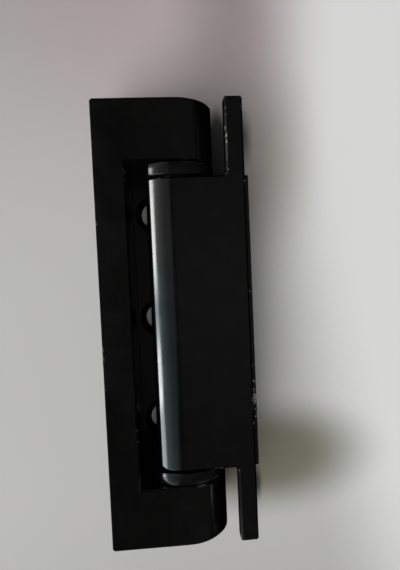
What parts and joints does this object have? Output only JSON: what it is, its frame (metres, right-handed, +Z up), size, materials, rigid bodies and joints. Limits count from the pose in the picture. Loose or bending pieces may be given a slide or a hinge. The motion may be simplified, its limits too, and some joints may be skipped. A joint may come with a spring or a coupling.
{
  "type": "window hinge",
  "caption": "Black window hinge: a bar-shaped frame leaf with end knuckles and a milled recess, and a sash leaf with an edgewise plate turning on a pin in flanged bushes.",
  "frame": {"origin": "on the frame leaf's mounting face, straight under the pin axis, halfway along the hinge", "axes": "+Y along the pin, +X from the frame leaf to the sash leaf, +Z up from the mounting face to the front"},
  "size_m": [0.0323, 0.095, 0.0212],
  "materials": {
    "black_coat": "glossy black coat on extruded aluminium",
    "bush_plastic": "black acetal, semi-gloss",
    "cap_plastic": "black moulded plastic",
    "pin_steel": "ground stainless steel",
    "screw_steel": "black oxide steel"
  },
  "bodies": {
    "frame": {"frame_leaf": "black_coat", "upper_bush": "bush_plastic", "lower_bush": "bush_plastic", "upper_cap": "cap_plastic", "lower_cap": "cap_plastic"},
    "sash": {"sash_leaf": "black_coat", "hinge_pin": "pin_steel", "upper_lock_screw": "screw_steel", "lower_lock_screw": "screw_steel"}
  },
  "joints": [
    {"name": "sash_swing", "type": "hinge", "parent": "frame", "child": "sash", "pos_m": [0, 0, 0.0121], "axis": [0, -1, 0], "range_deg": [0, 92]}
  ]
}
